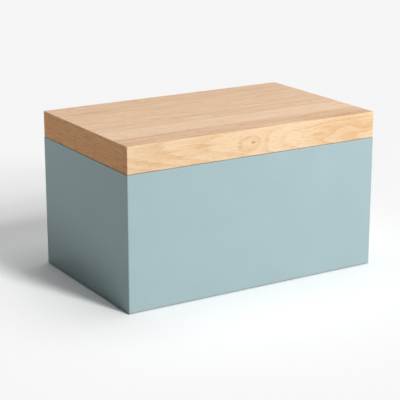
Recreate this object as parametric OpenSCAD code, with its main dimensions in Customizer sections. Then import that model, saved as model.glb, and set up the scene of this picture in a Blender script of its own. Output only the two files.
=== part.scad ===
// Lidded box: a body of folded sheet steel and a thick lid of solid oak.
// The lid turns on two stop hinges at the back and leans back when it is open.
// Millimetres. The origin is on the table under the middle of the body.
// X runs to the right, Y to the back and Z up. The front faces -Y. The lid is closed.

/* [Body] */
// Width of the body, left to right
box_w = 340; // [320:1:400]
// Depth of the body, front to back
box_d = 212; // [200:1:260]
// Height from the table to the top of the lid
box_h = 194; // [170:1:260]
// Outer radius of the body's upright and bottom edges
edge_r = 1.2; // [1.2:0.1:4]
// Thickness of the sheet steel
sheet_t = 1; // [0.8:0.1:1.5]
// Width of the return that the walls turn inwards at the bottom
return_w = 12; // [8:1:16]
// Height of the floor pan's upturned edge
pan_h = 12; // [8:1:20]
// Radius between the floor pan's floor and its edge
pan_r = 4; // [3:0.5:6]

/* [Rim] */
// Width of the flat rim inside the top of the walls
rim_w = 15; // [15:0.5:18]
// Depth of the lip that turns down round the mouth
rim_lip = 10; // [8:1:12]
// Thickness of the rim's sheet
rim_t = 1.2; // [1:0.1:1.5]
// Corner radius of the mouth
mouth_r = 6; // [4:1:12]

/* [Lid] */
// Thickness of the oak lid
lid_t = 32; // [26:1:40]
// Gap between the body and the lid, which the bumpers keep
lid_gap = 0.3; // [0.3:0.1:1.5]
// How far the lid's edges stand inside the body's faces
lid_inset = 0.4; // [0.2:0.1:1]
// Radius of the lid's eased edges
lid_ease = 0.8; // [0.4:0.1:1.5]

/* [Battens] */
// Distance of each batten from the middle of the lid
batten_x = 112; // [60:1:120]
// Width of a batten
batten_w = 28; // [20:1:40]
// Length of a batten, across the staves
batten_len = 156; // [130:1:160]
// Thickness of a batten
batten_t = 10; // [8:1:12]
// Radius of a batten's visible edges
batten_r = 3; // [1:0.5:4]

/* [Hinges] */
// Distance of each hinge from the middle of the box
hinge_x = 105; // [60:1:120]
// Length of a hinge along its pin
hinge_len = 50; // [44:1:60]
// Width of a leaf from the pin's axis to its front edge
leaf_w = 12; // [11.5:0.1:12.5]
// Thickness of a leaf
leaf_t = 3; // [2.9:0.1:3.5]
// Radius of the pin
pin_r = 1.5; // [1.2:0.1:1.6]
// Angle at which the shoulders of the two leaves meet
open_stop = 95; // [90:1:100]

/* [Feet and bumpers] */
// Radius of a foot
foot_r = 8; // [6:0.5:10]
// Height of the feet that shows under the body
foot_show = 0.5; // [0.4:0.1:2]
// Distance from a foot to the edge of the bottom return
foot_margin = 2; // [1:0.5:5]
// Radius of a bumper
bumper_r = 4; // [3:0.5:5]
// Distance of each bumper from the middle of the front rim
bumper_x = 140; // [100:1:145]

/* [Hidden] */
$fn = 48;

LEFT = -1;
RIGHT = 1;
FRONT = -1;
BACK = 1;
SIDES = [LEFT, RIGHT];

// Length by which a cutter reaches past the face that it cuts
past = 1;

// Body: it stands on the feet and ends a gap below the lid
body_h = box_h - lid_t - lid_gap - foot_show;
body_top = foot_show + body_h;
inner_w = box_w - 2 * sheet_t;
inner_d = box_d - 2 * sheet_t;
tightest_fold = 0.2;
inner_r = max(edge_r - sheet_t, tightest_fold);
pan_slack = 0.1;
pan_z = foot_show + sheet_t;

// Mouth inside the rim
mouth_w = inner_w - 2 * rim_w;
mouth_d = inner_d - 2 * rim_w;

// Lid: staves run along X and are numbered from the front
STAVES = 6;
lid_z = box_h - lid_t;
lid_w = box_w - 2 * lid_inset;
lid_d = box_d - 2 * lid_inset;
stave_w = lid_d / STAVES;

// Hinges: the pin's axis lies over the back face, one leaf above the rim
axis_y = box_d / 2;
axis_z = body_top + leaf_t;
leaf_gap = 0.05;
barrel_r = leaf_t - 2 * leaf_gap;
turn_gap = 0.2;
barrel_room = barrel_r + turn_gap;
pocket_slack = 0.2;
pocket_h = axis_z + leaf_t - lid_z;
lid_knuckle = 20;
running_gap = 0.04;
pressed_gap = 0.01;
shoulder_r = 5;
shoulder_drop = 4.6;
shoulder_flat = 0.7;
stop_slack = 0.5;
wall_gap = 0.15;

// Screws of the hinges: three in each leaf
leaf_screw_in = 7.5;
leaf_screw_y = axis_y - leaf_screw_in;
leaf_screw_xs = [-17, 0, 17];
flat_head_r = 2.75;
flat_head_edge = 0.3;
machine_r = 1.45;
machine_len = 10;
machine_point = 0.7;
wood_r = 1.4;
wood_len = 16;
wood_point = 4;
point_r = 0.4;
hole_slack = 0.15;
thread_slack = 0.05;
cross_w = 0.8;
cross_len = 3;
cross_depth = 1.2;

// Backing plate: it lies under the rim, on the line of the screws
backing_len = 56;
backing_w = 12;
backing_t = 3;

// Battens: one screw in each of the four middle staves
batten_screw_ys = [for (i = [2:STAVES - 1]) (i - (STAVES + 1) / 2) * stave_w];
pan_head_r = 4;
pan_head_h = 2.4;
pan_crown_r = 2.4;
pan_shoulder_r = 3.6;
pan_shoulder_h = 1.7;
pan_side_h = 0.85;
batten_shank_r = 1.9;
batten_screw_len = 22;
batten_seat = 3;
seat_r = 4.5;
slot_travel = 3;

// Feet and bumpers
foot_edge = 0.6;
foot_h = pan_z;
foot_in = return_w + foot_margin + foot_r;
bumper_gap = 0.05;
bumper_h = lid_gap - bumper_gap;
bumper_edge = 0.1;
bumper_y = -(mouth_d + rim_w) / 2;

STEEL_PAINT = [0.686, 0.788, 0.8];
OAK = [0.87, 0.72, 0.56];
OAK_UNDER = [0.8, 0.63, 0.46];
STAINLESS = [0.75, 0.75, 0.74];
ZINC = [0.7, 0.71, 0.72];
RUBBER = [0.13, 0.13, 0.14];
SILICONE = [0.82, 0.84, 0.84];

// Centred rectangle with round corners that are true arcs
module rounded_rect(w, d, r) {
    square([w, d - 2 * r], center = true);
    square([w - 2 * r, d], center = true);
    for (x = SIDES, y = [FRONT, BACK])
        translate([x * (w / 2 - r), y * (d / 2 - r)]) circle(r);
}

// Carries a Y-Z outline along X, centred on X = 0
module along_x(length) {
    rotate([90, 0, 90]) linear_extrude(length, center = true) children();
}

// Carries an X-Z outline along Y, centred on Y = 0
module along_y(length) {
    rotate([90, 0, 0]) linear_extrude(length, center = true) children();
}

// Outline of a tub's side: it stands on zero and its bottom corners are round
module tub_side(w, h, r) {
    translate([-w / 2, r]) square([w, h - r]);
    translate([r - w / 2, 0]) square([w - 2 * r, h]);
    for (x = SIDES) translate([x * (w / 2 - r), r]) circle(r);
}

// Solid block that stands on zero, with round upright and bottom edges
module tub(w, d, h, r) {
    intersection() {
        linear_extrude(h) rounded_rect(w, d, r);
        along_y(d) tub_side(w, h, r);
        along_x(w) tub_side(d, h, r);
    }
}

// Solid block that stands on zero, with all its edges eased
module eased_block(w, d, h, r) {
    intersection() {
        linear_extrude(h) rounded_rect(w, d, r);
        along_y(d) translate([0, h / 2]) rounded_rect(w, h, r);
        along_x(w) translate([0, h / 2]) rounded_rect(d, h, r);
    }
}

// The walls, with the return that they turn inwards at the bottom
module body_wrap() {
    color(STEEL_PAINT) difference() {
        translate([0, 0, foot_show]) tub(box_w, box_d, body_h, edge_r);
        translate([0, 0, pan_z]) tub(inner_w, inner_d, body_h, inner_r);
        translate([0, 0, foot_show - past]) linear_extrude(sheet_t + 2 * past)
            rounded_rect(box_w - 2 * return_w, box_d - 2 * return_w, mouth_r);
    }
}

// Floor pan: a shallow tray that lies on the return
module base_pan() {
    w = inner_w - 2 * pan_slack;
    d = inner_d - 2 * pan_slack;
    color(STEEL_PAINT) translate([0, 0, pan_z]) difference() {
        tub(w, d, pan_h, pan_r);
        translate([0, 0, sheet_t])
            tub(w - 2 * sheet_t, d - 2 * sheet_t, pan_h, pan_r - sheet_t);
    }
}

// Rim: a flat frame flush with the top of the walls, and a lip that turns down
module rim_frame() {
    lip_w = mouth_w + 2 * rim_t;
    lip_d = mouth_d + 2 * rim_t;
    color(STEEL_PAINT) difference() {
        translate([0, 0, body_top - rim_lip]) linear_extrude(rim_lip)
            rounded_rect(inner_w, inner_d, inner_r);
        translate([0, 0, body_top - rim_lip - past]) linear_extrude(rim_lip + 2 * past)
            rounded_rect(mouth_w, mouth_d, mouth_r);
        translate([0, 0, body_top - rim_lip - past]) linear_extrude(rim_lip - rim_t + past)
            difference() {
                square([inner_w + 2 * past, inner_d + 2 * past], center = true);
                rounded_rect(lip_w, lip_d, mouth_r + rim_t);
            }
        for (side = SIDES) at_leaf_screws(side)
            translate([0, 0, body_top - rim_t - past])
                cylinder(h = rim_t + 2 * past, r = machine_r + hole_slack);
    }
}

// Rubber pad under the floor pan
module foot(side, end) {
    color(RUBBER)
        translate([side * (box_w / 2 - foot_in), end * (box_d / 2 - foot_in), 0])
            rotate_extrude() polygon([
                [0, 0], [foot_r - foot_edge, 0], [foot_r, foot_edge],
                [foot_r, foot_h], [0, foot_h]
            ]);
}

// Thin silicone dot on the front rim, which the lid comes down on
module bumper(side) {
    color(SILICONE) translate([side * bumper_x, bumper_y, body_top])
        rotate_extrude() polygon([
            [0, 0], [bumper_r, 0], [bumper_r, bumper_h - bumper_edge],
            [bumper_r - bumper_edge, bumper_h], [0, bumper_h]
        ]);
}

// Puts its children at each screw of one hinge, at height zero
module at_leaf_screws(side) {
    for (x = leaf_screw_xs) translate([side * hinge_x + x, leaf_screw_y, 0]) children();
}

// Countersunk screw with its head's face at zero, pointing down
module flat_head_screw(shank_r, length, point) {
    cone = flat_head_r - shank_r;
    difference() {
        rotate_extrude() polygon([
            [0, 0], [flat_head_r, 0], [flat_head_r, -flat_head_edge],
            [shank_r, -flat_head_edge - cone], [shank_r, point - length],
            [point_r, -length], [0, -length]
        ]);
        cross_recess();
    }
}

// Pan-head screw with its seat at zero, pointing down and with its head above
module pan_head_screw(shank_r, length, point) {
    difference() {
        rotate_extrude() polygon([
            [0, pan_head_h], [pan_crown_r, pan_head_h],
            [pan_shoulder_r, pan_shoulder_h], [pan_head_r, pan_side_h],
            [pan_head_r, 0], [shank_r, 0], [shank_r, point - length],
            [point_r, -length], [0, -length]
        ]);
        translate([0, 0, pan_head_h]) cross_recess();
    }
}

// Cross-shaped recess cut down from zero
module cross_recess() {
    for (turn = [0, 90]) rotate(turn) translate([0, 0, (past - cross_depth) / 2])
        cube([cross_len, cross_w, cross_depth + past], center = true);
}

// Cutter for a countersunk hole with its face at zero, going down
module flat_head_hole(shank_r) {
    hole_r = shank_r + hole_slack;
    head_r = flat_head_r + thread_slack;
    translate([0, 0, -leaf_t - past]) cylinder(h = leaf_t + 2 * past, r = hole_r);
    translate([0, 0, hole_r - head_r - flat_head_edge])
        cylinder(h = head_r - hole_r, r1 = hole_r, r2 = head_r);
    translate([0, 0, -flat_head_edge]) cylinder(h = flat_head_edge + past, r = head_r);
}

// Tapped strip that the hinge's machine screws pull up against the rim
module backing_plate(side) {
    color(ZINC) difference() {
        translate([side * hinge_x, leaf_screw_y, body_top - rim_t - backing_t / 2])
            cube([backing_len, backing_w, backing_t], center = true);
        at_leaf_screws(side)
            translate([0, 0, body_top - rim_t - backing_t - past])
                cylinder(h = backing_t + 2 * past, r = machine_r + thread_slack);
    }
}

// Places a hinge's own Y-Z outline on the pin's axis, from x0 to x1 along the hinge
module hinge_span(side, x0, x1) {
    translate([side * hinge_x + (x0 + x1) / 2, axis_y, axis_z]) along_x(x1 - x0) children();
}

// Outline of a leaf, flat against the pin's level: way is 1 above it and -1 below
module leaf_outline(way) {
    low = min(way * leaf_gap, way * leaf_t);
    translate([-leaf_w, low]) square([leaf_w, leaf_t - leaf_gap]);
}

// Outline of a shoulder behind the pin, whose face meets its twin's at the stop
module shoulder_outline(way, angle) {
    tip = [shoulder_r * cos(angle), shoulder_r * sin(angle)];
    polygon([
        [0, 0],
        [tip.x, way * tip.y],
        [tip.x - shoulder_flat, way * shoulder_drop],
        [wall_gap, way * shoulder_drop],
        [wall_gap, way * leaf_t],
        [-barrel_r, way * leaf_t],
        [-barrel_r, way * leaf_gap]
    ]);
}

// Fixed leaf: two knuckles hold the pin, and its shoulder runs the whole length
module hinge_body_leaf(side) {
    end = hinge_len / 2;
    inner = lid_knuckle / 2;
    color(STAINLESS) difference() {
        union() {
            hinge_span(side, -end, end) leaf_outline(-1);
            hinge_span(side, -end, end)
                shoulder_outline(-1, open_stop / 2 + stop_slack);
            hinge_span(side, -end, -inner) circle(barrel_r);
            hinge_span(side, inner, end) circle(barrel_r);
        }
        hinge_span(side, -inner, inner) circle(barrel_room);
        hinge_span(side, -end - past, end + past) circle(pin_r + pressed_gap);
        at_leaf_screws(side) translate([0, 0, axis_z - leaf_gap])
            flat_head_hole(machine_r);
    }
}

// Moving leaf: one knuckle turns on the pin between the fixed leaf's two
module hinge_lid_leaf(side) {
    end = hinge_len / 2;
    inner = lid_knuckle / 2 - turn_gap;
    color(STAINLESS) difference() {
        union() {
            hinge_span(side, -end, end) leaf_outline(1);
            hinge_span(side, -inner, inner) shoulder_outline(1, open_stop / 2);
            hinge_span(side, -inner, inner) circle(barrel_r);
        }
        hinge_span(side, -end - past, -inner) circle(barrel_room);
        hinge_span(side, inner, end + past) circle(barrel_room);
        hinge_span(side, -inner - past, inner + past) circle(pin_r + running_gap);
        at_leaf_screws(side) translate([0, 0, axis_z + leaf_gap]) rotate([180, 0, 0])
            flat_head_hole(wood_r);
    }
}

// Pin, pressed into the fixed leaf's knuckles
module hinge_pin(side) {
    color(STAINLESS) hinge_span(side, -hinge_len / 2, hinge_len / 2) circle(pin_r);
}

// Machine screws through the fixed leaves and the rim into the backing plates
module hinge_body_screws() {
    color(STAINLESS) for (side = SIDES) at_leaf_screws(side)
        translate([0, 0, axis_z - leaf_gap])
            flat_head_screw(machine_r, machine_len, machine_point);
}

// Wood screws through the moving leaves into the back stave
module hinge_lid_screws() {
    color(STAINLESS) for (side = SIDES) at_leaf_screws(side)
        translate([0, 0, axis_z + leaf_gap]) rotate([180, 0, 0])
            flat_head_screw(wood_r, wood_len, wood_point);
}

// One stave of the lid, counted from the front, with all that is cut into it
module lid_stave(number) {
    front = -lid_d / 2 + (number - 1) * stave_w;
    color(OAK) difference() {
        intersection() {
            translate([0, 0, lid_z]) eased_block(lid_w, lid_d, lid_t, lid_ease);
            translate([-lid_w / 2 - past, front, lid_z - past])
                cube([lid_w + 2 * past, stave_w, lid_t + 2 * past]);
        }
        if (number == STAVES) for (side = SIDES) hinge_pocket(side);
        if (number > 1 && number < STAVES) for (side = SIDES)
            translate([side * batten_x, front + stave_w / 2, lid_z - past])
                cylinder(
                    h = batten_seat + batten_screw_len - batten_t + 2 * past,
                    r = batten_shank_r + thread_slack
                );
    }
}

// Pocket for one hinge in the back stave, with the holes for its wood screws
module hinge_pocket(side) {
    w = hinge_len + 2 * pocket_slack;
    d = leaf_w + pocket_slack + past;
    translate([
        side * hinge_x - w / 2, axis_y - leaf_w - pocket_slack, lid_z - past
    ]) cube([w, d, pocket_h + past]);
    at_leaf_screws(side) translate([0, 0, lid_z])
        cylinder(
            h = axis_z - lid_z + wood_len + thread_slack + leaf_gap,
            r = wood_r + thread_slack
        );
}

// Outline of a slot that is longer along Y by travel
module slot_outline(r, travel) {
    for (end = [FRONT, BACK]) translate([0, end * travel / 2]) circle(r);
    square([2 * r, travel], center = true);
}

// Batten across the staves; its slots lengthen towards its ends
module batten(side) {
    longest = max(batten_screw_ys);
    color(OAK_UNDER) translate([side * batten_x, 0, lid_z - batten_t]) difference() {
        tub(batten_w, batten_len, batten_t, batten_r);
        for (y = batten_screw_ys) {
            travel = slot_travel * abs(y) / longest;
            translate([0, y, -past]) linear_extrude(batten_t + 2 * past)
                slot_outline(batten_shank_r + hole_slack, travel);
            translate([0, y, -past]) linear_extrude(batten_seat + past)
                slot_outline(seat_r, travel);
        }
    }
}

// Wood screws of the battens, one in each middle stave
module batten_screws() {
    color(ZINC) for (side = SIDES, y = batten_screw_ys)
        translate([side * batten_x, y, lid_z - batten_t + batten_seat])
            rotate([180, 0, 0])
                pan_head_screw(batten_shank_r, batten_screw_len, wood_point);
}

body_wrap();
base_pan();
rim_frame();
foot(LEFT, FRONT);  // front_left_foot
foot(RIGHT, FRONT);  // front_right_foot
foot(LEFT, BACK);  // back_left_foot
foot(RIGHT, BACK);  // back_right_foot
bumper(LEFT);  // left_bumper
bumper(RIGHT);  // right_bumper
backing_plate(LEFT);  // left_backing_plate
backing_plate(RIGHT);  // right_backing_plate
hinge_body_leaf(LEFT);  // left_hinge_body_leaf
hinge_body_leaf(RIGHT);  // right_hinge_body_leaf
hinge_pin(LEFT);  // left_hinge_pin
hinge_pin(RIGHT);  // right_hinge_pin
hinge_body_screws();
lid_stave(1);  // lid_stave_1
lid_stave(2);  // lid_stave_2
lid_stave(3);  // lid_stave_3
lid_stave(4);  // lid_stave_4
lid_stave(5);  // lid_stave_5
lid_stave(6);  // lid_stave_6
batten(LEFT);  // left_batten
batten(RIGHT);  // right_batten
batten_screws();
hinge_lid_leaf(LEFT);  // left_hinge_lid_leaf
hinge_lid_leaf(RIGHT);  // right_hinge_lid_leaf
hinge_lid_screws();
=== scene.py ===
# Lidded box: folded steel body, solid oak lid, stop hinges, and the studio round them.
# Lengths are metres; a name that ends in _mm holds millimetres. X right, Y back, Z up.
import logging
import math
from collections.abc import Mapping, Sequence
from dataclasses import dataclass
from enum import Enum
from typing import Any, Union

import bpy
import numpy as np
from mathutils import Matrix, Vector


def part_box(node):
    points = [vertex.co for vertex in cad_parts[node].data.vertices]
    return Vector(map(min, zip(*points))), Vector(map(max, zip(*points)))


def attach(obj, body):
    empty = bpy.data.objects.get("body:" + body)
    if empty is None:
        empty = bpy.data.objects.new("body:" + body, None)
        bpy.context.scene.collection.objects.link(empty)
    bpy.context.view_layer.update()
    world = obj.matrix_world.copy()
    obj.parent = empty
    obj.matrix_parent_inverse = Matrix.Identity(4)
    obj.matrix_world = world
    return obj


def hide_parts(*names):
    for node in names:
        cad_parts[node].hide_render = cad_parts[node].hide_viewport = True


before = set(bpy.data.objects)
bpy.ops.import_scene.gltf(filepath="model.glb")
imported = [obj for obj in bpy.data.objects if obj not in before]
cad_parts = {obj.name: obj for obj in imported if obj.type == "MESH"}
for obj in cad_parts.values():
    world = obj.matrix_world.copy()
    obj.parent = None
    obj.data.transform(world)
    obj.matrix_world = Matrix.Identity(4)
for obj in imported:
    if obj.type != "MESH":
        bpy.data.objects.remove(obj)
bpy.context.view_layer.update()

log = logging.getLogger("lidded_box")

MM = 0.001
DISPLAY_WHITE = 255
# The display curve: a straight line up to its knee, and an offset power above it.
CURVE_KNEE, CURVE_SLOPE, CURVE_OFFSET, CURVE_POWER = 0.04045, 12.92, 0.055, 2.4
# How far one seed shifts a pattern along X, Y and Z.
SEED_STEPS = (1.0, 1.7, 2.3)
# Numbers of the Mix node's two colours and of its mixed colour.
MIX_FIRST, MIX_SECOND, MIX_RESULT = 6, 7, 2
# Points along each bend of a sheet, and along each corner and side of a path.
BEND_POINTS, CORNER_POINTS, SIDE_POINTS = 7, 9, 14
# A smaller turn counts as straight, in radians; nearer points become one, in metres.
STRAIGHT, SAME_PLACE = 1e-9, 1e-7
# Radius of a path's corner that looks sharp but whose points stay apart.
SHARP_MM = 0.02

Colour = tuple[float, float, float]
Triple = tuple[float, float, float]
Number = Union[float, "Value"]


class Grain(Enum):
    """Which way a board's fibres run."""

    ALONG_X = 0.0
    ALONG_Y = -math.pi / 2


class Slot(Enum):
    """Material slots of the record."""

    BODY_PAINT = "body_paint"


def srgb(red: float, green: float, blue: float) -> Colour:
    """Turns a colour written in 0 to 255 display values into linear light.

    A value up to the knee is divided by the slope. Above it, the offset is added, the sum
    is scaled so that white stays white, and it is raised to the curve's power.

    Args:
        red: display value of red.
        green: display value of green.
        blue: display value of blue.

    Returns:
        The three linear values, 0 to 1.
    """
    parts = np.array([red, green, blue]) / DISPLAY_WHITE
    curved = ((parts + CURVE_OFFSET) / (1 + CURVE_OFFSET)) ** CURVE_POWER
    linear = np.where(parts <= CURVE_KNEE, parts / CURVE_SLOPE, curved)
    return tuple(float(part) for part in linear)


class Value:
    """A number socket of a node graph; arithmetic on it adds the Math nodes it needs."""

    def __init__(self, graph: "Graph", socket: bpy.types.NodeSocket) -> None:
        """Keeps the socket and the graph that it belongs to."""
        self.graph = graph
        self.socket = socket

    def __add__(self, other: Number) -> "Value":
        """This value plus another."""
        return self.graph.maths("ADD", self, other)

    __radd__ = __add__

    def __sub__(self, other: Number) -> "Value":
        """This value less another."""
        return self.graph.maths("SUBTRACT", self, other)

    def __rsub__(self, other: Number) -> "Value":
        """A number less this value."""
        return self.graph.maths("SUBTRACT", other, self)

    def __mul__(self, other: Number) -> "Value":
        """This value times another."""
        return self.graph.maths("MULTIPLY", self, other)

    __rmul__ = __mul__

    def __truediv__(self, other: Number) -> "Value":
        """This value divided by another."""
        return self.graph.maths("DIVIDE", self, other)

    def __pow__(self, other: Number) -> "Value":
        """This value to a power."""
        return self.graph.maths("POWER", self, other)

    def __abs__(self) -> "Value":
        """Size of this value without its sign."""
        return self.graph.maths("ABSOLUTE", self)

    def root(self) -> "Value":
        """Square root of this value."""
        return self.graph.maths("SQRT", self)

    def part(self) -> "Value":
        """What this value is above the whole number below it."""
        return self.graph.maths("FRACT", self)

    def swell(self) -> "Value":
        """Bell curve of a squared distance: e to the power of minus this value."""
        return self.graph.maths("EXPONENT", self * -1.0)

    def step(self, low: float, high: float) -> "Value":
        """Smooth step of this value: 0 up to low, 1 from high on.

        Args:
            low: value at which the step starts.
            high: value at which the step ends.

        Returns:
            The stepped value.
        """
        ramp = self.graph.node(
            "ShaderNodeMapRange",
            {"interpolation_type": "SMOOTHSTEP"},
            {"Value": self, "From Min": low, "From Max": high},
        )
        return Value(self.graph, ramp.outputs["Result"])


class Graph:
    """One node tree, filled through one method that adds a node."""

    def __init__(self, tree: bpy.types.NodeTree) -> None:
        """Empties the tree and keeps it."""
        tree.nodes.clear()
        self.tree = tree

    @classmethod
    def of_material(cls, name: str) -> tuple["Graph", bpy.types.Material]:
        """Makes a material and the graph of its nodes.

        Args:
            name: the material's name.

        Returns:
            The graph and the material.
        """
        material = bpy.data.materials.new(name)
        material.use_nodes = True
        return cls(material.node_tree), material

    def node(
        self,
        kind: str,
        settings: Mapping[str, Any] | None = None,
        sockets: Mapping[str | int, Any] | None = None,
    ) -> bpy.types.Node:
        """Adds one node.

        Args:
            kind: the node's type.
            settings: its own settings, such as a Math node's operation; they are set first.
            sockets: what each input holds, by name or number: a link or a constant.

        Returns:
            The new node.
        """
        made = self.tree.nodes.new(kind)
        for name, setting in (settings or {}).items():
            setattr(made, name, setting)
        for name, given in (sockets or {}).items():
            given = given.socket if isinstance(given, Value) else given
            if isinstance(given, bpy.types.NodeSocket):
                self.tree.links.new(given, made.inputs[name])
            elif made.inputs[name].type == "RGBA":
                made.inputs[name].default_value = (*given, 1.0)
            else:
                made.inputs[name].default_value = given
        return made

    def maths(self, operation: str, *values: Number) -> Value:
        """Adds one Math node.

        Args:
            operation: the node's operation.
            values: its inputs in order.

        Returns:
            The node's result.
        """
        made = self.node("ShaderNodeMath", {"operation": operation}, dict(enumerate(values)))
        return Value(self, made.outputs["Value"])

    def place_mm(self, grain: Grain = Grain.ALONG_X) -> bpy.types.NodeSocket:
        """Object coordinates in millimetres, turned so that X runs along the grain.

        Args:
            grain: which way the fibres run on the piece.

        Returns:
            The vector socket.
        """
        return self.turned("Object", "POINT", grain, 1 / MM)

    def facing(self, grain: Grain = Grain.ALONG_X) -> tuple[Value, Value]:
        """How far the surface faces along the grain and across it.

        Args:
            grain: which way the fibres run on the piece.

        Returns:
            Sizes of the normal's X and Y parts in the board's own axes.
        """
        along, across, _ = self.parts(self.turned("Normal", "VECTOR", grain, 1.0))
        return abs(along), abs(across)

    def turned(
        self, output: str, kind: str, grain: Grain, scale: float
    ) -> bpy.types.NodeSocket:
        """One output of Texture Coordinate, turned about Z and scaled.

        Args:
            output: the output's name.
            kind: the Mapping node's type.
            grain: which way the fibres run on the piece.
            scale: factor for all three axes.

        Returns:
            The vector socket.
        """
        source = self.node("ShaderNodeTexCoord").outputs[output]
        mapping = self.node(
            "ShaderNodeMapping",
            {"vector_type": kind},
            {"Vector": source, "Rotation": (0, 0, grain.value), "Scale": (scale,) * 3},
        )
        return mapping.outputs["Vector"]

    def parts(self, vector: bpy.types.NodeSocket) -> tuple[Value, Value, Value]:
        """Splits a vector into its three numbers."""
        split = self.node("ShaderNodeSeparateXYZ", None, {"Vector": vector})
        return tuple(Value(self, output) for output in split.outputs)

    def noise(
        self,
        place: bpy.types.NodeSocket,
        lengths: Triple,
        seed: float = 0.0,
        detail: float = 2.0,
    ) -> Value:
        """Cloudy noise about 0.5, drawn out to a length of its own along each axis.

        Args:
            place: coordinates in millimetres.
            lengths: size of the clouds along X, Y and Z, in millimetres.
            seed: shifts the pattern.
            detail: how many finer layers are added.

        Returns:
            The noise.
        """
        stretched = self.node(
            "ShaderNodeMapping",
            None,
            {
                "Vector": place,
                "Location": tuple(seed * step for step in SEED_STEPS),
                "Scale": tuple(1 / length for length in lengths),
            },
        )
        made = self.node(
            "ShaderNodeTexNoise",
            None,
            {"Vector": stretched.outputs["Vector"], "Scale": 1.0, "Detail": detail},
        )
        return Value(self, made.outputs["Fac"])

    def line_noise(self, along: Value, detail: float = 3.0) -> Value:
        """Noise about 0.5 of one number.

        Args:
            along: the number, in cloud lengths.
            detail: how many finer layers are added.

        Returns:
            The noise.
        """
        made = self.node(
            "ShaderNodeTexNoise",
            {"noise_dimensions": "1D"},
            {"W": along, "Scale": 1.0, "Detail": detail},
        )
        return Value(self, made.outputs["Fac"])

    def blend(self, factor: Number, first: Any, second: Any) -> bpy.types.NodeSocket:
        """Mixes two colours.

        Args:
            factor: 0 for the first colour, 1 for the second.
            first: colour or socket.
            second: colour or socket.

        Returns:
            The mixed colour's socket.
        """
        made = self.node(
            "ShaderNodeMix",
            {"data_type": "RGBA"},
            {"Factor": factor, MIX_FIRST: first, MIX_SECOND: second},
        )
        return made.outputs[MIX_RESULT]

    def bump(self, height: Value, depth_mm: float) -> bpy.types.NodeSocket:
        """Turns a height pattern into a surface normal.

        Args:
            height: 0 at the bottom, 1 at the top.
            depth_mm: how deep the pattern is.

        Returns:
            The normal's socket.
        """
        made = self.node("ShaderNodeBump", None, {"Height": height, "Distance": depth_mm * MM})
        return made.outputs["Normal"]

    def close(
        self,
        sockets: Mapping[str, Any],
        kind: str = "ShaderNodeBsdfPrincipled",
        output: str = "ShaderNodeOutputMaterial",
    ) -> None:
        """Ends the graph in a shader.

        Args:
            sockets: what the shader's inputs hold.
            kind: the shader's node type.
            output: type of the output node.
        """
        shader = self.node(kind, None, sockets)
        self.node(output, None, {"Surface": shader.outputs[0]})


@dataclass(frozen=True)
class PowderCoat:
    """Satin powder coat: an even colour over fine orange peel.

    Attributes:
        colour: linear base colour.
        reflection: linear tint of its gloss.
        roughness: middle value of its roughness.
        deep, pale: factors for the colour where the coat is darkest and palest.
        peel_mm, peel_depth_mm: size and depth of the orange peel's dimples.
        grit_mm: size of the fine grit in the coat.
        grit_height: height of the grit, where the dimples' depth is 1.
        cloud_mm: size of the faint clouds in tone and gloss.
        cloud_tone, grit_tone: how much clouds and grit change the tone.
        cloud_gloss, grit_gloss: how much they change the roughness.
    """

    colour: Colour = srgb(161, 180, 183)
    reflection: Colour = srgb(160, 255, 255)
    roughness: float = 0.21
    deep: float = 0.93
    pale: float = 1.05
    peel_mm: float = 1.1
    peel_depth_mm: float = 0.012
    grit_mm: float = 0.275
    grit_height: float = 0.2
    cloud_mm: float = 55.0
    cloud_tone: float = 0.8
    grit_tone: float = 0.5
    cloud_gloss: float = 0.12
    grit_gloss: float = 0.1

    def material(self) -> bpy.types.Material:
        """Builds the finish."""
        graph, made = Graph.of_material("powder_coat")
        place = graph.place_mm()
        peel = graph.noise(place, (self.peel_mm,) * 3)
        grit = graph.noise(place, (self.grit_mm,) * 3, seed=3)
        cloud = graph.noise(place, (self.cloud_mm,) * 3, seed=7)
        deep = tuple(part * self.deep for part in self.colour)
        pale = tuple(min(part * self.pale, 1.0) for part in self.colour)
        tone = 0.5 + (cloud - 0.5) * self.cloud_tone + (grit - 0.5) * self.grit_tone
        gloss = (cloud - 0.5) * self.cloud_gloss + (grit - 0.5) * self.grit_gloss
        graph.close({
            "Base Color": graph.blend(tone, deep, pale),
            "Specular Tint": self.reflection,
            "Roughness": self.roughness + gloss,
            "Normal": graph.bump(peel + grit * self.grit_height, self.peel_depth_mm),
        })
        return made


@dataclass(frozen=True)
class Figure:
    """A place where the growth rings bend round a knot, or where the wood is darker or paler.

    Attributes:
        at: its middle, in millimetres, with X along the grain.
        size: how far it reaches along each axis, in millimetres.
        lift: how far it pushes the rings aside, in millimetres.
        shade: how much it darkens the wood round it; less than 0 makes it paler.
        core: half the length of the dark knot itself, 0 for none.
    """

    at: Triple
    size: Triple
    lift: float
    shade: float = 0.0
    core: float = 0.0

    def reach(self, place: Sequence[Value], shrink: float = 1.0) -> Value:
        """Bell curve that is 1 in its middle and fades at its size.

        Args:
            place: the three coordinates in millimetres.
            shrink: divides its size.

        Returns:
            The curve: e to the power of minus the squared distance, in sizes.
        """
        terms = [
            ((axis - middle) * (shrink / length)) ** 2.0
            for axis, middle, length in zip(place, self.at, self.size)
        ]
        return (terms[0] + terms[1] + terms[2]).swell()


@dataclass(frozen=True)
class Tones:
    """Palest and fullest colour of one kind of cut through the wood.

    Attributes:
        pale: the palest colour.
        full: the fullest colour.
        span: tones at which the two are reached.
    """

    pale: Colour
    full: Colour
    span: tuple[float, float] = (-0.1, 1.3)

    def blend(self, graph: Graph, tone: Value) -> bpy.types.NodeSocket:
        """Colour of a tone: about 0 for the palest and 1 for the fullest."""
        return graph.blend(tone.step(*self.span), self.pale, self.full)


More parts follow.
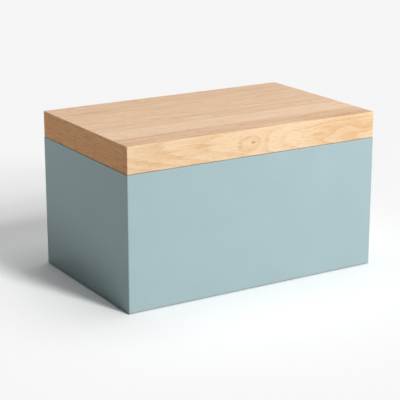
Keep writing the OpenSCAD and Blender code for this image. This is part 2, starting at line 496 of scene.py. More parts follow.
@dataclass(frozen=True)
class Layer:
    """One layer of a board's noise.

    Attributes:
        lengths: size of its marks in millimetres, the first along the grain.
        shift: what it adds to the board's seed.
        detail: how many finer layers are added.
    """

    lengths: Triple
    shift: float = 0.0
    detail: float = 3.0

    def draw(self, graph: Graph, place: bpy.types.NodeSocket, seed: float) -> Value:
        """The layer's noise about 0.5, on a board with its own seed."""
        return graph.noise(place, self.lengths, seed + self.shift, self.detail)


@dataclass(frozen=True)
class Share:
    """How strongly something shows on a board's face, and how that changes on other cuts.

    Attributes:
        face: strength on the top and the underside.
        side: what a long side adds.
        end: what the end grain adds.
    """

    face: float
    side: float = 0.0
    end: float = 0.0

    def on(self, side: Value, end: Value) -> Value:
        """Strength where the surface is side or end grain by these masks."""
        return self.face + side * self.side + end * self.end


@dataclass(frozen=True)
class OakMarks:
    """Sizes and strengths of the marks that all the boards share.

    A name that ends in _tone, _dark or _rough says how much that mark changes the tone,
    darkens the wood or roughens it. A name that ends in _step says where a mark starts and
    where it is full.

    Attributes:
        cut_step: how squarely a surface faces a way before it counts as that cut.
        stray_y, stray_z: slow noise that moves the rings along Y and Z.
        ragged, ragged_years: noise at the rings' edges, and how far it moves them in years.
        spring_fall: power that the spring wood fades with over the year.
        spring_start: share of the year in which it begins.
        stripe_change: what a side and an end add to the spring wood's tone.
        band_mm: width of bands of good and bad years.
        streak, fibre: streaks and fine fibres along the grain.
        lines: lines on the end grain.
        calm: how much of bands, streaks and fibres is left on each cut.
        pores, rays: short dark pores, and flecks of the medullary rays.
        pore_year: share of the pores in summer, and what spring adds.
        pore_cut: how many pores are left on each cut.
        core_step, core_dark: a knot's core.
        index, roughness: refractive index and middle roughness of the oiled wood.
        ray_depth, fibre_height: depth of a ray and height of a fibre, in depths of a pore.
        depth_mm: depth of a pore.
    """

    cut_step: tuple[float, float] = (0.6, 0.95)
    stray_y: Layer = Layer((170, 60, 60), detail=2.0)
    stray_z: Layer = Layer((150, 60, 60), shift=31, detail=2.0)
    ragged: Layer = Layer((22, 1.3, 1.3), shift=5, detail=2.0)
    ragged_years: float = 0.6
    spring_fall: float = 1.5
    spring_start: float = 0.15
    stripe_change: tuple[float, float] = (0.2, -0.2)
    band_mm: float = 7.0
    band_tone: float = 0.6
    streak: Layer = Layer((48, 2.6, 2.6), shift=11)
    streak_tone: float = 1.1
    fibre: Layer = Layer((70, 0.8, 0.8), shift=17)
    fibre_tone: float = 0.9
    lines: Layer = Layer((9, 34, 1.1), shift=37)
    lines_tone: float = 3.2
    calm: Share = Share(1.0, side=-0.6, end=-0.6)
    pores: Layer = Layer((5.5, 0.3, 0.3), shift=23, detail=1.0)
    pore_step: tuple[float, float] = (0.56, 0.7)
    pore_year: tuple[float, float] = (0.3, 0.7)
    pore_cut: Share = Share(1.0, side=-0.5)
    pore_dark: float = 0.45
    rays: Layer = Layer((9, 17, 0.75), shift=29, detail=1.0)
    ray_step: tuple[float, float] = (0.56, 0.72)
    ray_dark: Share = Share(0.1, side=0.12, end=0.25)
    core_step: tuple[float, float] = (0.2, 0.9)
    core_dark: float = 0.7
    index: float = 1.42
    roughness: float = 0.56
    pore_rough: float = 0.2
    fibre_rough: float = 0.15
    ray_depth: float = 0.2
    fibre_height: float = 0.5
    depth_mm: float = 0.05


@dataclass(frozen=True)
class Oak:
    """One board of oak, cut from one solid pattern of rings, fibres, pores and rays.

    Attributes:
        name: the material's name.
        pith: Y and Z of the tree's pith at X = 0, in millimetres.
        drift: how far the pith moves along Y and Z for each millimetre along the grain.
        ring: width of a year's growth in millimetres.
        tone: middle tone of the top, from 0 for palest to 1 for fullest.
        side_tone: middle tone of the long sides.
        end_tone: middle tone of the end grain.
        stripe: how much fuller the spring wood's tone is.
        seed: shifts the noise.
        wander: how far the rings stray from round, in millimetres.
        figures: knots, streaks and pale or dark places.
        grain: which way the fibres run.
        face: colours of the top and the underside.
        side: colours of the long sides.
        end: colours of the end grain, which drinks more oil; on the staves they are also lighter
            and more orange than the oak, as painted light that lifts the end standing in shade.
        brown: colour of pores and rays.
        heart: colour of a knot's core.
        marks: sizes and strengths of the marks.
    """

    name: str
    pith: tuple[float, float]
    drift: tuple[float, float]
    ring: float = 2.6
    tone: float = 0.45
    side_tone: float = 0.35
    end_tone: float = 0.45
    stripe: float = 0.3
    seed: float = 0.0
    wander: float = 9.0
    figures: tuple[Figure, ...] = ()
    grain: Grain = Grain.ALONG_X
    face: Tones = Tones(srgb(213, 184, 154), srgb(178, 136, 99))
    side: Tones = Tones(srgb(229, 200, 164), srgb(213, 172, 126))
    # End-grain colours: partly the oak's own, since it takes more oil, and partly painted light,
    # made lighter and more orange to lift the shaded end.
    end: Tones = Tones(srgb(252, 197, 133), srgb(240, 158, 96))
    brown: Colour = srgb(122, 78, 44)
    heart: Colour = srgb(172, 106, 60)
    marks: OakMarks = OakMarks()

    def material(self) -> bpy.types.Material:
        """Builds the board's finish.

        The rings are the distance from the pith line, bent by slow noise and by the
        figures, divided by a year's growth. What is left over the last whole number is
        the time of year: the open spring wood is darkest and the summer wood pale.
        """
        graph, made = Graph.of_material(self.name)
        marks = self.marks
        place = graph.place_mm(self.grain)
        where = graph.parts(place)
        along, across = graph.facing(self.grain)
        end, side = along.step(*marks.cut_step), across.step(*marks.cut_step)
        bells = [figure.reach(where) for figure in self.figures]
        radius = self.radius(graph, place, where)
        shade = 0.0
        for figure, bell in zip(self.figures, bells):
            radius = radius + bell * figure.lift
            shade = bell * figure.shade + shade
        ragged, streak, fibre, lines = (
            layer.draw(graph, place, self.seed) - 0.5
            for layer in (marks.ragged, marks.streak, marks.fibre, marks.lines)
        )
        year = (radius / self.ring + ragged * marks.ragged_years).part()
        spring = (1.0 - year) ** marks.spring_fall * year.step(0.0, marks.spring_start)
        band = graph.line_noise(radius / marks.band_mm + self.seed) - 0.5
        pores = marks.pores.draw(graph, place, self.seed).step(*marks.pore_step)
        summer, more_in_spring = marks.pore_year
        pores = pores * (summer + spring * more_in_spring) * marks.pore_cut.on(side, end)
        rays = marks.rays.draw(graph, place, self.seed).step(*marks.ray_step)

        middle = Share(self.tone, self.side_tone - self.tone, self.end_tone - self.tone)
        stripe = Share(self.stripe, *marks.stripe_change)
        tone = middle.on(side, end) + spring * stripe.on(side, end) + shade
        uneven = band * marks.band_tone + streak * marks.streak_tone + fibre * marks.fibre_tone
        tone = tone + uneven * marks.calm.on(side, end) + lines * end * marks.lines_tone
        colour = self.face.blend(graph, tone)
        colour = graph.blend(side, colour, self.side.blend(graph, tone))
        # The end grain gets its own colours, which carry painted light that lifts the shaded end
        # of the lid.
        colour = graph.blend(end, colour, self.end.blend(graph, tone))
        dark = pores * marks.pore_dark + rays * marks.ray_dark.on(side, end)
        colour = graph.blend(dark, colour, self.brown)
        for figure in self.figures:
            if figure.core:
                heart = figure.reach(where, figure.size[0] / figure.core)
                core = heart.step(*marks.core_step) * marks.core_dark
                colour = graph.blend(core, colour, self.heart)

        height = 1.0 - pores - rays * marks.ray_depth + fibre * marks.fibre_height
        graph.close({
            "Base Color": colour,
            "IOR": marks.index,
            "Roughness": marks.roughness + pores * marks.pore_rough + fibre * marks.fibre_rough,
            "Normal": graph.bump(height, marks.depth_mm),
        })
        return made

    def radius(
        self, graph: Graph, place: bpy.types.NodeSocket, where: Sequence[Value]
    ) -> Value:
        """Distance from the pith line in millimetres, strayed by slow noise.

        Args:
            graph: the board's graph.
            place: coordinates in millimetres with X along the grain.
            where: the same as three numbers.

        Returns:
            The distance.
        """
        x, y, z = where
        stray_y = self.marks.stray_y.draw(graph, place, self.seed) - 0.5
        stray_z = self.marks.stray_z.draw(graph, place, self.seed) - 0.5
        from_y = y - self.pith[0] - x * self.drift[0] + stray_y * self.wander
        from_z = z - self.pith[1] - x * self.drift[1] + stray_z * self.wander
        return (from_y * from_y + from_z * from_z).root()


@dataclass(frozen=True)
class BrushedSteel:
    """Bare metal with fine brush lines.

    Attributes:
        name: the material's name.
        colour: linear colour of the metal.
        tint: linear colour of its faint clouds.
        roughness: middle value of its roughness.
        lines: size of the brush marks along X, Y and Z, in millimetres.
        brush_depth_mm: their depth.
        cloud_mm: size of the faint clouds.
        cloud_step: noise at which the colour starts to turn and has turned to the tint.
        brush_gloss, cloud_gloss: how much marks and clouds change the roughness.
    """

    name: str
    colour: Colour
    tint: Colour
    roughness: float
    lines: Triple
    brush_depth_mm: float = 0.006
    cloud_mm: float = 9.0
    cloud_step: tuple[float, float] = (0.35, 0.65)
    brush_gloss: float = 0.3
    cloud_gloss: float = 0.1

    def material(self) -> bpy.types.Material:
        """Builds the finish."""
        graph, made = Graph.of_material(self.name)
        place = graph.place_mm()
        brush = graph.noise(place, self.lines)
        cloud = graph.noise(place, (self.cloud_mm,) * 3, seed=5)
        gloss = (brush - 0.5) * self.brush_gloss + (cloud - 0.5) * self.cloud_gloss
        graph.close({
            "Base Color": graph.blend(cloud.step(*self.cloud_step), self.colour, self.tint),
            "Metallic": 1.0,
            "Roughness": self.roughness + gloss,
            "Normal": graph.bump(brush, self.brush_depth_mm),
        })
        return made


@dataclass(frozen=True)
class Moulded:
    """Moulded rubber or silicone with a fine mould texture.

    Attributes:
        name: the material's name.
        colour: linear colour.
        roughness: middle value of its roughness.
        texture_mm, texture_depth_mm: size and depth of the mould texture.
        texture_gloss: how much it changes the roughness.
        worn_mm: size of the worn, paler places.
        worn_step: noise at which such a place starts and is full.
        worn_share: how much of the pale colour shows there.
        worn_factor, worn_more: what the colour is multiplied by and what is added for it.
    """

    name: str
    colour: Colour
    roughness: float
    texture_mm: float
    texture_depth_mm: float = 0.03
    texture_gloss: float = 0.2
    worn_mm: float = 6.0
    worn_step: tuple[float, float] = (0.4, 0.7)
    worn_share: float = 0.6
    worn_factor: float = 1.25
    worn_more: float = 0.01

    def material(self) -> bpy.types.Material:
        """Builds the finish."""
        graph, made = Graph.of_material(self.name)
        place = graph.place_mm()
        skin = graph.noise(place, (self.texture_mm,) * 3, detail=4)
        worn = graph.noise(place, (self.worn_mm,) * 3, seed=9).step(*self.worn_step)
        pale = tuple(min(part * self.worn_factor + self.worn_more, 1.0) for part in self.colour)
        graph.close({
            "Base Color": graph.blend(worn * self.worn_share, self.colour, pale),
            "Roughness": self.roughness + (skin - 0.5) * self.texture_gloss,
            "Normal": graph.bump(skin, self.texture_depth_mm),
        })
        return made


@dataclass(frozen=True)
class Bend:
    """One corner of a sheet's cross-section.

    Attributes:
        out_mm: how far it lies outside the body's faces; inside is negative.
        height_mm: how high it lies above the table.
        radius_mm: radius that it is rounded with.
    """

    out_mm: float
    height_mm: float
    radius_mm: float


def rounded_section(bends: Sequence[Bend], closed: bool) -> tuple[np.ndarray, np.ndarray]:
    """Outline of a sheet's cross-section, walked with the metal on its left.

    Each bend becomes an arc. The arc's ends lie radius x tan(turn / 2) from the corner,
    and its normal swings evenly from that of the side before to that of the side after.

    Args:
        bends: the corners in order.
        closed: whether the last corner is joined to the first; otherwise the first and
            the last are plain ends.

    Returns:
        Points and outward normals, both as rows of (out, up) in metres.
    """
    corners = np.array([[bend.out_mm, bend.height_mm] for bend in bends]) * MM
    points, normals = [], []
    steps = np.linspace(0, 1, BEND_POINTS)[:, None]
    for number, bend in enumerate(bends):
        before = corners[number] - corners[number - 1]
        after = corners[(number + 1) % len(bends)] - corners[number]
        before, after = before / np.hypot(*before), after / np.hypot(*after)
        if not closed and number == 0:
            before = after
        if not closed and number == len(bends) - 1:
            after = before
        turn = math.atan2(before[0] * after[1] - before[1] * after[0], before @ after)
        outward = np.array([before[1], -before[0]])
        if abs(turn) < STRAIGHT:
            points.append(corners[number][None])
            normals.append(outward[None])
            continue
        radius = bend.radius_mm * MM
        start = corners[number] - before * radius * math.tan(abs(turn) / 2)
        side = math.copysign(1.0, turn)
        swing = np.cos(steps * turn) * outward + np.sin(steps * turn) * before
        points.append(start + side * radius * (swing - outward))
        normals.append(swing)
    return np.vstack(points), np.vstack(normals)


@dataclass(frozen=True)
class RoundedPath:
    """Rounded rectangle round the box's middle, which a cross-section is carried along.

    Attributes:
        half_width: half the body's width.
        half_depth: half the body's depth.
        middle: X and Y of the middle.
        radii: pairs of how far outside the body's faces and the corner's radius there,
            in millimetres, innermost first.
    """

    half_width: float
    half_depth: float
    middle: tuple[float, float]
    radii: tuple[tuple[float, float], ...]

    def carry(
        self, name: str, section: tuple[np.ndarray, np.ndarray], closed: bool
    ) -> bpy.types.Object:
        """Carries a cross-section round the path and makes the mesh.

        A point that lies out outside the body's faces runs on a rectangle whose half sides
        are larger by out and whose corner radius is read from radii. Along the path, hold
        says which straight or corner centre a place belongs to and e is the path's outward
        direction, so the point is hold x (half sides - radius) + radius x e.

        Args:
            name: the new object's name.
            section: points and normals of the cross-section.
            closed: whether the cross-section is a closed outline.

        Returns:
            The mesh's object.
        """
        points, normals = section
        hold, outward = self.stations()
        out = points[:, 0]
        inner, radius = np.array(self.radii).T * MM
        radius = np.interp(out, inner, radius)[:, None, None]
        half = np.stack([self.half_width + out, self.half_depth + out], axis=1)[:, None, :]
        flat = hold[None] * (half - radius) + radius * outward[None] + np.array(self.middle)
        height = np.broadcast_to(points[:, None, 1:], (*flat.shape[:2], 1))
        places = np.concatenate([flat, height], axis=2)
        slant = np.concatenate([
            normals[:, None, :1] * outward[None],
            np.broadcast_to(normals[:, None, 1:], (*flat.shape[:2], 1)),
        ], axis=2)
        return mesh_of_grid(name, places, slant, closed)

    def stations(self) -> tuple[np.ndarray, np.ndarray]:
        """Places along the path, counter-clockwise from the front left.

        Returns:
            For each place, which part of each half side it stands at, from -1 to 1, and
            the outward direction there.
        """
        signs = np.array([[-1, -1], [1, -1], [1, 1], [-1, 1]], float)
        hold, outward = [], []
        for number, sign in enumerate(signs):
            start = math.pi + number * math.pi / 2
            angles = start + np.linspace(0, math.pi / 2, CORNER_POINTS)
            hold.append(np.repeat(sign[None], CORNER_POINTS, axis=0))
            outward.append(np.stack([np.cos(angles), np.sin(angles)], axis=1))
            share = np.linspace(0, 1, SIDE_POINTS)[1:-1, None]
            hold.append(sign * (1 - share) + signs[(number + 1) % 4] * share)
            outward.append(np.repeat(outward[-1][-1:], SIDE_POINTS - 2, axis=0))
        return np.vstack(hold), np.vstack(outward)


def mesh_of_grid(
    name: str, places: np.ndarray, normals: np.ndarray, closed: bool
) -> bpy.types.Object:
    """Makes a mesh from a grid that is closed along its second side.

    Neighbours on the grid are joined by quads, places that coincide become one vertex,
    and quads that have shrunk to a line are left out.

    Args:
        name: the new object's name.
        places: the grid's points, rows x columns x 3.
        normals: the surface's normals at those points.
        closed: whether the last row is joined to the first.

    Returns:
        The mesh's object, linked to the scene and shaded smooth.
    """
    rows, columns = places.shape[:2]
    row = np.arange(rows if closed else rows - 1)[:, None]
    column = np.arange(columns)[None]
    ring = [(row, column), (row, column + 1), (row + 1, column + 1), (row + 1, column)]
    quads = np.stack([(r % rows) * columns + c % columns for r, c in ring], axis=2)
    quads = quads.reshape(-1, 4)
    keys = np.round(places.reshape(-1, 3) / SAME_PLACE).astype(np.int64)
    _, first, merged = np.unique(keys, axis=0, return_index=True, return_inverse=True)
    quads = merged.reshape(-1)[quads]
    faces = [drop_repeats(quad) for quad in quads.tolist()]
    mesh = bpy.data.meshes.new(name)
    mesh.from_pydata(places.reshape(-1, 3)[first], [], [f for f in faces if len(f) > 2])
    mesh.shade_smooth()
    mesh.normals_split_custom_set_from_vertices(normals.reshape(-1, 3)[first])
    return in_scene(name, mesh)


def in_scene(name: str, data: bpy.types.ID) -> bpy.types.Object:
    """Makes an object of a mesh, a lamp or a camera and puts it into the scene."""
    made = bpy.data.objects.new(name, data)
    bpy.context.scene.collection.objects.link(made)
    return made


def drop_repeats(face: Sequence[int]) -> list[int]:
    """Leaves out corners of a face that are the same as another of its corners."""
    return list(dict.fromkeys(face))


def dress(node: str, material: bpy.types.Material) -> None:
    """Gives a node of the frame its finish in place of the plain one.

    Args:
        node: the node's name.
        material: the finish.
    """
    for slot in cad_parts[node].material_slots:
        slot.material = material
    log.info("%s dressed with %s", node, material.name)


@dataclass
class SteelBody:
    """Folded walls, rim and floor pan of the body.

    Attributes:
        sheet_mm: thickness of the walls' and the pan's sheet.
        edge_mm: outer radius of the walls' upright and bottom edges.
        return_mm: width of the return under the walls.
        return_corner_mm: corner radius of the opening inside the return.
        rim_mm: width of the flat rim.
        rim_sheet_mm: thickness of its sheet.
        fold_mm: outer radius of its fold at the mouth.
        mouth_mm: corner radius of the mouth.
        pan_mm: radius between the pan's floor and its edge.
        pan_slack_mm: room between the pan and the walls.
        cut_mm: radius that a cut edge of sheet is broken with.
    """

    sheet_mm: float = 1.0
    edge_mm: float = 1.2
    return_mm: float = 12.0
    return_corner_mm: float = 6.0
    rim_mm: float = 15.0
    rim_sheet_mm: float = 1.2
    fold_mm: float = 1.7
    mouth_mm: float = 6.0
    pan_mm: float = 4.0
    pan_slack_mm: float = 0.1
    cut_mm: float = 0.25

    def build(self, paint: bpy.types.Material) -> None:
        """Makes the three sheet-metal pieces and puts each in its node's place.

        Args:
            paint: the body's finish.
        """
        for piece, node in (
            (self.walls(), "body_wrap"),
            (self.rim(), "rim_frame"),
            (self.pan(), "base_pan"),
        ):
            piece.data.materials.append(paint)
            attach(piece, "box")
            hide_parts(node)
            log.info("%s: %d faces", piece.name, len(piece.data.polygons))

    def path(self, radii: Sequence[tuple[float, float]]) -> RoundedPath:
        """Path round the walls with the corner radii that a piece needs."""
        low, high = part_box("body_wrap")
        middle = (low + high) / 2
        half = (high - low) / 2
        return RoundedPath(half.x, half.y, (middle.x, middle.y), tuple(radii))

    def folded(
        self,
        flat: float,
        fold: float,
        heights: tuple[float, float],
        sheet: float,
        radius: float,
        closed: bool = True,
    ) -> tuple[np.ndarray, np.ndarray]:
        """Cross-section of a sheet that has a flat part, one fold and an upright part.

        Args:
            flat: how far out the flat part ends.
            fold: how far out the upright part's outer face lies.
            heights: height of the flat part's outer face, and of the upright part's end.
            sheet: the sheet's thickness, less than 0 where the upright part hangs down.
            radius: outer radius of the fold.
            closed: whether the flat part ends in a cut edge.

        Returns:
            Points and outward normals, as rounded_section gives them.
        """
        face, end = heights
        return rounded_section([
            Bend(flat, face, self.cut_mm),
            Bend(fold, face, radius),
            Bend(fold, end, self.cut_mm),
            Bend(fold - sheet, end, self.cut_mm),
            Bend(fold - sheet, face + sheet, radius - abs(sheet)),
            Bend(flat, face + sheet, self.cut_mm),
        ], closed)

    def walls(self) -> bpy.types.Object:
        """Walls with the return under them."""
        low, high = (corner.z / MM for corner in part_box("body_wrap"))
        section = self.folded(-self.return_mm, 0, (low, high), self.sheet_mm, self.edge_mm)
        radii = [(-self.return_mm, self.return_corner_mm), (-self.edge_mm, SHARP_MM)]
        path = self.path([*radii, (0, self.edge_mm)])
        return path.carry("folded_walls", section, closed=True)

    def rim(self) -> bpy.types.Object:
        """Rim with the lip that hangs from it round the mouth."""
        low, high = (corner.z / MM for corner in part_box("rim_frame"))
        outer, mouth = -self.sheet_mm, -self.sheet_mm - self.rim_mm
        sheet = self.rim_sheet_mm
        section = self.folded(outer, mouth, (high, low), -sheet, self.fold_mm)
        radii = [(mouth, self.mouth_mm), (mouth + sheet, self.mouth_mm + sheet)]
        path = self.path([*radii, (outer, self.edge_mm - self.sheet_mm)])
        return path.carry("folded_rim", section, closed=True)

    def pan(self) -> bpy.types.Object:
        """Pressed floor pan with its upturned edge.

        The floor's front and back halves meet on the line midway between the walls.
        """
        low, high = (corner.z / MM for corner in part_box("base_pan"))
        front, back = (corner.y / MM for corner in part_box("body_wrap"))
        seam = -(back - front) / 2
        outer = -self.sheet_mm - self.pan_slack_mm
        section = self.folded(
            seam, outer, (low, high), self.sheet_mm, self.pan_mm, closed=False
        )
        radii = [(seam, 0.0), (outer - self.pan_mm, SHARP_MM), (outer, self.pan_mm)]
        return self.path(radii).carry("pressed_pan", section, closed=False)


@dataclass
class Supports:
    """Rubber feet under the floor pan and silicone dots on the front rim."""

    feet: tuple[str, ...] = (
        "front_left_foot", "front_right_foot", "back_left_foot", "back_right_foot"
    )
    bumpers: tuple[str, ...] = ("left_bumper", "right_bumper")

    def build(self) -> None:
        """Dresses the feet and the bumpers."""
        rubber = Moulded("black_rubber", srgb(38, 38, 40), roughness=0.8, texture_mm=0.5)
        silicone = Moulded("clear_silicone", srgb(214, 218, 216), roughness=0.35, texture_mm=0.9)
        for names, finish in ((self.feet, rubber), (self.bumpers, silicone)):
            material = finish.material()
            for name in names:
                dress(name, material)


@dataclass
class Hinges:
    """Stop hinges with their screws and backing plates."""

    leaves: tuple[str, ...] = ("hinge_body_leaf", "hinge_lid_leaf", "hinge_pin")
    screws: tuple[str, ...] = ("hinge_body_screws", "hinge_lid_screws")

    def build(self, zinc: bpy.types.Material) -> None:
        """Dresses the hinges.

        Args:
            zinc: finish of the backing plates.
        """
        steel = BrushedSteel(
            "satin_stainless", srgb(196, 195, 192), srgb(206, 204, 200),
            roughness=0.3, lines=(18, 0.16, 0.16),
        ).material()
        turned = BrushedSteel(
            "turned_stainless", srgb(188, 187, 185), srgb(200, 199, 196),
            roughness=0.26, lines=(1.2, 1.2, 0.2),
        ).material()
        for side in ("left", "right"):
            for leaf in self.leaves:
                dress(f"{side}_{leaf}", steel)
            dress(f"{side}_backing_plate", zinc)
        for screws in self.screws:
            dress(screws, turned)


@dataclass
class OakLid:
    """Six glued staves, two battens under them and the battens' screws.

    Attributes:
        front_mm: Y of the lid's front face.
        mark_depth_mm: how far a mark on that face reaches into the wood.
        front_streaks: short streaks on that face, each as X, Z, length, height and shade.
    """

    front_mm: float = -106
    mark_depth_mm: float = 12
    front_streaks: tuple[tuple[float, ...], ...] = (
        (86, 176, 8, 1.3, 0.8),
        (67, 182, 7, 1.2, 0.5),
        (131, 195, 13, 1.4, 0.9),
        (159, 176, 9, 1.6, 0.9),
        (99, 184, 9, 1.2, 0.5),
        (-67, 182, 13, 1.6, 0.8),
        (-111, 181, 12, 2.2, 0.45),
        (-83, 163, 14, 2.0, 0.6),
        (-97, 174, 20, 2.2, 0.4),
        (-14, 178, 9, 3.5, -0.35),
        (-24, 177, 3.5, 6.0, 0.3),
    )

    def mark(
        self, x: float, z: float, length: float, height: float, shade: float, lift: float = 0
    ) -> Figure:
        """A mark on the front face.

        Args:
            x: its middle along the width, in millimetres.
            z: its middle's height, in millimetres.
            length: how far it reaches along the grain, in millimetres.
            height: how far it reaches up and down, in millimetres.
            shade: how much it darkens the wood.
            lift: how far it pushes the rings aside, in millimetres.

        Returns:
            The figure.
        """
        size = (length, self.mark_depth_mm, height)
        return Figure(at=(x, self.front_mm, z), size=size, lift=lift, shade=shade)

    def staves(self) -> list[Oak]:
        """The finish of each stave, from the front to the back."""
        knot = Figure(
            at=(-5, self.front_mm, 178), size=(20, 14, 10), lift=6.0, shade=0.2, core=3.6
        )
        return [
            Oak(
                "oak_stave_1", pith=(-142.48, 177.75), drift=(0.062, -0.07), ring=3.4,
                tone=0.5, side_tone=0.15, stripe=0.5, seed=3.0, wander=2.5,
                figures=(
                    knot,
                    self.mark(-140, 170, length=26, height=14, shade=0.35),
                    self.mark(45, 182, length=36, height=18, shade=-0.35),
                    self.mark(128, 182, length=50, height=20, shade=0.45),
                    self.mark(92, 176, length=17, height=4.5, shade=0.25, lift=3.2),
                    self.mark(157, 178, length=13, height=5, shade=0.35, lift=4.2),
                    *(self.mark(*streak) for streak in self.front_streaks),
                ),
            ),
            Oak("oak_stave_2", pith=(64, 210), drift=(-0.006, 0.01), ring=2.2, tone=0.12,
                seed=41.0),
            Oak("oak_stave_3", pith=(-160, 168), drift=(0.012, 0.02), ring=2.4, tone=0.4,
                seed=77.0),
            Oak("oak_stave_4", pith=(130, 150), drift=(-0.01, 0.0), ring=2.9, tone=0.38,
                seed=113.0),
            Oak(
                "oak_stave_5", pith=(-40, 140), drift=(0.02, 0.01), ring=2.5, tone=0.42,
                seed=151.0,
                figures=(Figure(at=(-122, 62, 194), size=(24, 7, 16), lift=7, shade=0.3),),
            ),
            Oak("oak_stave_6", pith=(210, 185), drift=(0.015, 0.01), ring=2.6, tone=0.45,
                seed=197.0),
        ]

    def build(self, zinc: bpy.types.Material) -> None:
        """Dresses the lid's pieces.

        Args:
            zinc: finish of the battens' screws.
        """
        for number, board in enumerate(self.staves(), start=1):
            dress(f"lid_stave_{number}", board.material())
        for side, seed in (("left", 233.0), ("right", 271.0)):
            batten = Oak(
                f"oak_{side}_batten", pith=(60, 120), drift=(0.01, 0.01), tone=0.55,
                seed=seed, grain=Grain.ALONG_Y,
                end=Tones(srgb(214, 174, 134), srgb(184, 136, 94)),
            )
            dress(f"{side}_batten", batten.material())
        dress("batten_screws", zinc)


@dataclass(frozen=True)
class FarLamp:
    """Soft lamp so far away that it lights everything alike.

    Attributes:
        name: the lamp's name.
        toward: bearing of the lamp from the box, in degrees from the front to the right.
        height: how high it stands, in degrees.
        spread: how wide it looks from the box, in degrees.
        strength: light on a surface that faces it, where 1 shows a colour as written.
    """

    name: str
    toward: float
    height: float
    spread: float
    strength: float

    def build(self) -> None:
        """Makes the lamp."""
        data = bpy.data.lights.new(self.name, "SUN")
        data.energy = self.strength * math.pi
        data.angle = math.radians(self.spread)
        made = in_scene(self.name, data)
        made.rotation_euler = (math.radians(90 - self.height), 0, math.radians(self.toward))


@dataclass(frozen=True)
class Softbox:
    """Square lamp close by, which lights the box but not the floor.

    Attributes:
        name: the lamp's name.
        place: where it stands, in metres.
        watts: its power.
        side: length of its sides, in metres.
        aim: the point on the box that it faces, in metres.
    """

    name: str
    place: Triple
    watts: float
    side: float = 0.5
    aim: Triple = (0.0, 0.0, 0.1)

    def build(self, floor: bpy.types.Object) -> None:
        """Makes the lamp and leaves the floor out of what it lights.

        Args:
            floor: the studio's floor.
        """
        data = bpy.data.lights.new(self.name, "AREA")
        data.size, data.energy = self.side, self.watts
        made = in_scene(self.name, data)
        made.location = self.place
        away = Vector(self.place) - Vector(self.aim)
        made.rotation_euler = away.to_track_quat("Z", "Y").to_euler()
        lit = bpy.data.collections.new(f"{self.name}_receivers")
        lit.objects.link(floor)
        lit.collection_objects[0].light_linking.link_state = "EXCLUDE"
        made.light_linking.receiver_collection = lit


@dataclass(frozen=True)
class Camera:
    """Camera at the photograph's viewing angle.

    Attributes:
        place_mm: where it stands.
        yaw: how far to the right of straight back it looks, in degrees.
        pitch: how far down it looks, in degrees.
        lens_mm: focal length.
        sensor_mm: width of the sensor.
        clip: nearest and farthest distance that it sees, in metres.
    """

    place_mm: Triple = (-838.0, -1351.0, 548.0)
    yaw: float = 31.44
    pitch: float = 16.34
    lens_mm: float = 120.9
    sensor_mm: float = 36.0
    clip: tuple[float, float] = (0.05, 60.0)

    def build(self) -> None:
        """Makes the camera and looks through it."""
        data = bpy.data.cameras.new("camera")
        data.lens, data.sensor_width = self.lens_mm, self.sensor_mm
        data.clip_start, data.clip_end = self.clip
        made = in_scene("camera", data)
        made.location = [part * MM for part in self.place_mm]
        made.rotation_euler = (math.radians(90 - self.pitch), 0, math.radians(-self.yaw))
        bpy.context.scene.camera = made


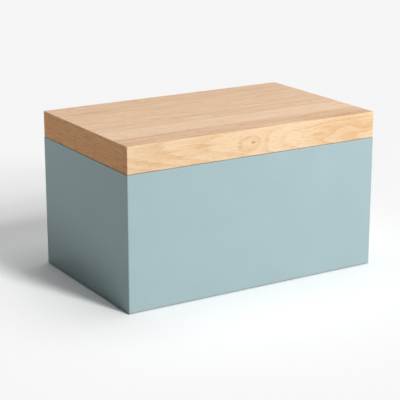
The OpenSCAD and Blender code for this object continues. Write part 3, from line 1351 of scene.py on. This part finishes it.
@dataclass
class Studio:
    """Pale floor, white surround, lamps and camera.

    The key lamp is a tall strip in three parts, to the right of the front. The top lamp is
    wide and soft. The two softboxes light the box alone.

    Attributes:
        white: display value of the surround, as linear light.
        paper: colour of the floor, which shows the same white under the lamps.
        bounce: how much light the floor sends back on to the object.
        surround: light that the surround itself sends on to matt surfaces.
        floor_half: half the floor's side, in metres.
        lamps: the far lamps.
        softboxes: the near lamps.
        camera: the camera.
    """

    white: float = srgb(246, 246, 246)[0]
    paper: float = 0.97
    bounce: float = 0.53
    surround: float = 0.0
    floor_half: float = 9.0
    lamps: tuple[FarLamp, ...] = (
        FarLamp("key_lamp_1", toward=17.0, height=22.0, spread=11.0, strength=0.29),
        FarLamp("key_lamp_2", toward=17.0, height=33.0, spread=11.0, strength=0.29),
        FarLamp("key_lamp_3", toward=17.0, height=44.0, spread=11.0, strength=0.29),
        FarLamp("top_lamp", toward=108.0, height=77.0, spread=56.0, strength=0.49),
    )
    softboxes: tuple[Softbox, ...] = (
        Softbox("right_softbox", place=(0.5, -0.6, 0.62), watts=3.3),
        Softbox("left_softbox", place=(-0.5, 0.2, 0.75), watts=0.64),
    )
    camera: Camera = Camera()

    def build(self) -> None:
        """Makes the floor, the surround, the lamps and the camera."""
        floor = self.floor()
        self.surround_light()
        for lamp in self.lamps:
            lamp.build()
        for softbox in self.softboxes:
            softbox.build(floor)
        self.camera.build()

    def seen(self, graph: Graph) -> Value:
        """1 for what the camera sees, straight or in metal and glass, and 0 for matt light."""
        path = graph.node("ShaderNodeLightPath")
        kinds = ("Is Camera Ray", "Is Glossy Ray", "Is Transmission Ray")
        rays = [Value(graph, path.outputs[kind]) for kind in kinds]
        return graph.maths("MINIMUM", rays[0] + rays[1] + rays[2], 1.0)

    def floor(self) -> bpy.types.Object:
        """Makes the pale floor as one quad."""
        corners = np.array([[-1, -1, 0], [1, -1, 0], [1, 1, 0], [-1, 1, 0]]) * self.floor_half
        mesh = bpy.data.meshes.new("studio_floor")
        mesh.from_pydata(corners, [], [(0, 1, 2, 3)])
        made = in_scene("studio_floor", mesh)
        graph, paper = Graph.of_material("studio_paper")
        tone = graph.blend(self.seen(graph), (self.bounce,) * 3, (self.paper,) * 3)
        graph.close({"Color": tone}, "ShaderNodeBsdfDiffuse")
        mesh.materials.append(paper)
        return made

    def surround_light(self) -> None:
        """White surround that the camera and gloss see, and that leaves matt surfaces unlit."""
        world = bpy.data.worlds.new("studio_surround")
        world.use_nodes = True
        bpy.context.scene.world = world
        graph = Graph(world.node_tree)
        tone = graph.blend(self.seen(graph), (self.surround,) * 3, (self.white,) * 3)
        sockets = {"Color": tone, "Strength": 1.0}
        graph.close(sockets, "ShaderNodeBackground", "ShaderNodeOutputWorld")


def main() -> None:
    """Builds the body, the supports, the hinges, the lid and the studio in order."""
    logging.basicConfig(level=logging.INFO, format="%(name)s: %(message)s")
    bpy.context.scene.view_settings.view_transform = "Standard"
    zinc = BrushedSteel(
        "zinc_plate", srgb(176, 180, 184), srgb(186, 184, 172),
        roughness=0.36, lines=(2.0, 2.0, 2.0),
    ).material()
    SteelBody().build(PowderCoat().material())
    Supports().build()
    Hinges().build(zinc)
    OakLid().build(zinc)
    Studio().build()


if __name__ == "__main__":
    main()
